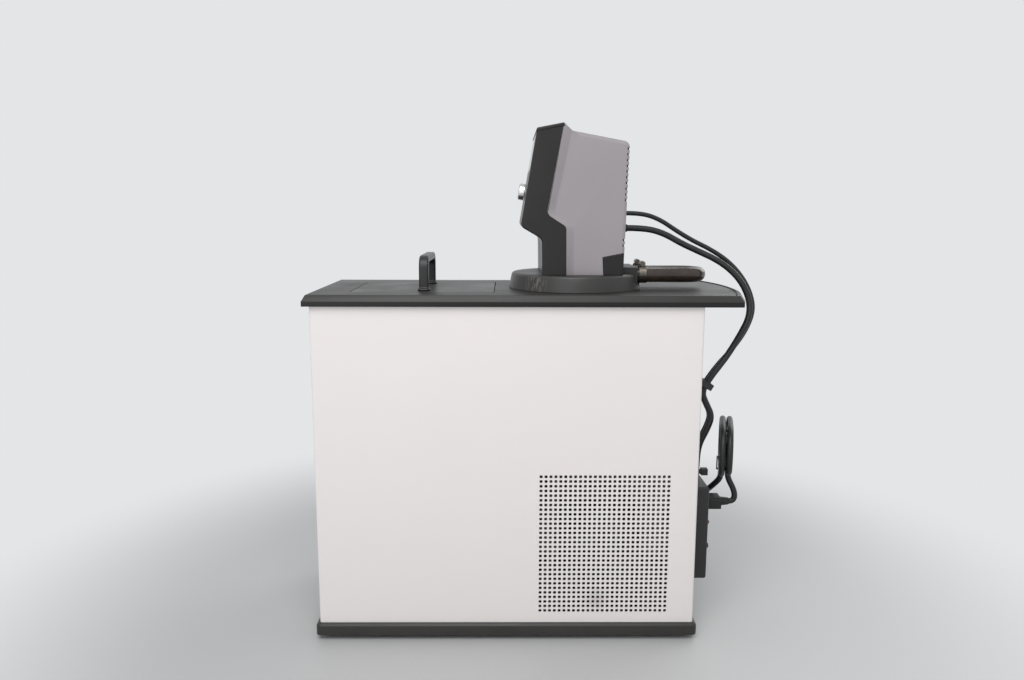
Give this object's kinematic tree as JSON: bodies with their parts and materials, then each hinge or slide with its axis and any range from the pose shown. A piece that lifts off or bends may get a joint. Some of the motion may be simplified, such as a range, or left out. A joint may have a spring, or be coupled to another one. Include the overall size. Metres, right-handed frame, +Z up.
{
  "type": "recirculating chiller",
  "caption": "Benchtop recirculating chiller: a white perforated cabinet with a black deck, a lift-off bath lid, and a swivelling control head with pump ports and hose.",
  "frame": {"origin": "on the floor plane, under the middle of the deck", "axes": "+X from the front to the rear, +Y from the side in the picture to the far side, +Z up"},
  "size_m": [0.5582, 0.25, 0.6333],
  "materials": {
    "moulded_black": "moulded, fine grain",
    "grey_plastic": "painted moulded plastic, smooth",
    "white_paint": "powder coat, satin",
    "tray_black": "painted sheet, satin",
    "stainless": "brushed",
    "galvanised": "zinc plated sheet",
    "aluminium_part": "turned or stamped",
    "copper": "drawn copper",
    "black_rubber": "matt",
    "hose_rubber": "smooth, slightly shiny with use",
    "cord_jacket": "satin flexible jacket",
    "gloss_black": "polished window",
    "foam": "rigid foam",
    "shell_black": "gloss enamel",
    "board_green": "circuit board",
    "rocker_red": "moulded rocker",
    "screw_steel": "plated",
    "dark_motor": "satin enamel"
  },
  "bodies": {
    "cabinet": {"base_tray": "tray_black", "bath_lid": "moulded_black", "bath_tank": "stainless", "cable_clip": "moulded_black", "compressor": "shell_black", "compressor_grommets": "black_rubber", "condenser": "galvanised", "cord_tie": "moulded_black", "deck": "moulded_black", "evaporator_coil": "copper", "fan_motor": "dark_motor", "fan_shroud": "galvanised", "far_side_panel": "white_paint", "feet": "black_rubber", "filter_drier": "copper", "front_panel": "white_paint", "head_cord_lower": "cord_jacket", "head_cord_upper": "cord_jacket", "lid_handle": "moulded_black", "mains_coil": "cord_jacket", "mains_connector": "black_rubber", "mains_cord_lead": "cord_jacket", "mains_cord_tail": "cord_jacket", "mains_plug": "black_rubber", "mains_socket": "moulded_black", "near_side_panel": "white_paint", "port_cap": "black_rubber", "rear_box": "moulded_black", "rear_panel": "white_paint", "refrigerant_lines": "copper", "swivel_ring": "moulded_black", "tank_insulation": "foam"},
    "controller": {"swivel_disc": "moulded_black", "port_block": "moulded_black", "bypass_hose": "hose_rubber", "hose_clamps": "screw_steel", "head_bezel": "moulded_black", "head_housing": "grey_plastic", "rear_corner_block": "moulded_black", "connector_plate": "aluminium_part", "strain_reliefs": "black_rubber", "display_lens": "gloss_black", "control_board": "board_green", "encoder_body": "dark_motor", "pump_motor": "dark_motor", "pump_column": "stainless", "pump_housing": "moulded_black", "heater_coil": "stainless", "temperature_probe": "stainless", "pump_pipes": "stainless"},
    "encoder_sleeve": {"encoder_rotor": "dark_motor"},
    "knob_set": {"knob": "aluminium_part", "encoder_spindle": "aluminium_part"},
    "power_key": {"key_power": "gloss_black"},
    "menu_key": {"key_menu": "gloss_black"},
    "pump_rotor": {"pump_shaft": "stainless", "impeller": "moulded_black"},
    "fan": {"fan_blade": "aluminium_part"},
    "rocker": {"rocker_switch": "rocker_red"},
    "breaker": {"breaker_button": "moulded_black"}
  },
  "joints": [
    {"name": "controller_swivel", "type": "hinge", "parent": "cabinet", "child": "controller", "pos_m": [0.06, 0, 0.4326], "axis": [0, 0, 1], "range_deg": [-90, 90], "deforming": ["head_cord_upper", "head_cord_lower"]},
    {"name": "knob_turn", "type": "hinge", "parent": "controller", "child": "encoder_sleeve", "pos_m": [-0.00437, 0, 0.5531], "axis": [-0.9866, 0, 0.1633], "continuous": true},
    {"name": "knob_push", "type": "slide", "parent": "encoder_sleeve", "child": "knob_set", "axis": [0.9866, 0, -0.1633], "range_m": [0, 0.001], "stiffness_N_per_m": 1500, "springref_m": -0.0002},
    {"name": "key_power_push", "type": "slide", "parent": "controller", "child": "power_key", "axis": [0.9866, 0, -0.1633], "range_m": [0, 0.0008], "stiffness_N_per_m": 1500, "springref_m": -0.0002},
    {"name": "key_menu_push", "type": "slide", "parent": "controller", "child": "menu_key", "axis": [0.9866, 0, -0.1633], "range_m": [0, 0.0008], "stiffness_N_per_m": 1500, "springref_m": -0.0002},
    {"name": "pump_spin", "type": "hinge", "parent": "controller", "child": "pump_rotor", "pos_m": [0.06, 0, 0.35], "axis": [0, 0, 1], "continuous": true},
    {"name": "fan_spin", "type": "hinge", "parent": "cabinet", "child": "fan", "pos_m": [-0.172, 0, 0.0925], "axis": [1, 0, 0], "continuous": true},
    {"name": "rocker_tilt", "type": "hinge", "parent": "cabinet", "child": "rocker", "pos_m": [0.22575, -0.062, 0.133], "axis": [0, 1, 0], "range_deg": [0, 16]},
    {"name": "breaker_push", "type": "slide", "parent": "cabinet", "child": "breaker", "axis": [-1, 0, 0], "range_m": [0, 0.002], "stiffness_N_per_m": 1500, "springref_m": -0.0002}
  ]
}
